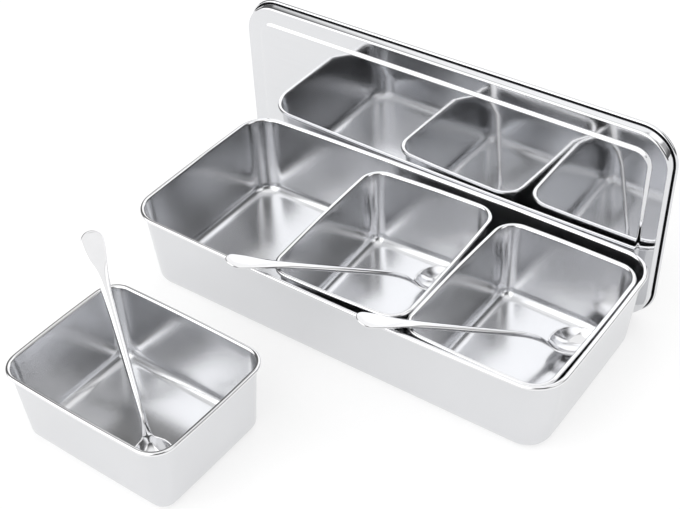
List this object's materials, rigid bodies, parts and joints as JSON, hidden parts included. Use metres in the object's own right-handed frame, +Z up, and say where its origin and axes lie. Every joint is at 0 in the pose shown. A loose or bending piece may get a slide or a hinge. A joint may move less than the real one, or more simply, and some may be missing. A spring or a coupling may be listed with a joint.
{
  "type": "condiment caddy",
  "caption": "Long stainless box holding lift-out seasoning pans with long-handled spoons, and a lift-off lid standing behind it.",
  "frame": {"origin": "centre of the outer box's underside, on the table", "axes": "+X along the box's length, +Y towards its back where the lid stands, +Z up"},
  "size_m": [0.3592, 0.344, 0.1627],
  "materials": {
    "box_steel": "satin",
    "lid_steel": "polished",
    "pan_steel": "satin",
    "spoon_steel": "polished"
  },
  "bodies": {
    "outer_box": {"outer_box": "box_steel"},
    "lid": {"lid": "lid_steel"},
    "pan_left": {"pan_left": "pan_steel"},
    "pan_middle": {"pan_middle": "pan_steel"},
    "pan_right": {"pan_right": "pan_steel"},
    "spoon_left": {"spoon_left": "spoon_steel"},
    "spoon_middle": {"spoon_middle": "spoon_steel"},
    "spoon_right": {"spoon_right": "spoon_steel"}
  },
  "joints": [
    {"name": "lid_lift", "type": "slide", "parent": "outer_box", "child": "lid", "axis": [0, 0, 1], "range_m": [0, 0.2]},
    {"name": "pan_left_lift", "type": "slide", "parent": "outer_box", "child": "pan_left", "axis": [0, 0, 1], "range_m": [0, 0.1]},
    {"name": "pan_middle_lift", "type": "slide", "parent": "outer_box", "child": "pan_middle", "axis": [0, 0, 1], "range_m": [0, 0.1]},
    {"name": "pan_right_lift", "type": "slide", "parent": "outer_box", "child": "pan_right", "axis": [0, 0, 1], "range_m": [0, 0.1]},
    {"name": "spoon_left_lift", "type": "slide", "parent": "pan_left", "child": "spoon_left", "axis": [0, 0, 1], "range_m": [0, 0.09]},
    {"name": "spoon_middle_lift", "type": "slide", "parent": "pan_middle", "child": "spoon_middle", "axis": [0, 0, 1], "range_m": [0, 0.09]},
    {"name": "spoon_right_lift", "type": "slide", "parent": "pan_right", "child": "spoon_right", "axis": [0, 0, 1], "range_m": [0, 0.09]}
  ]
}
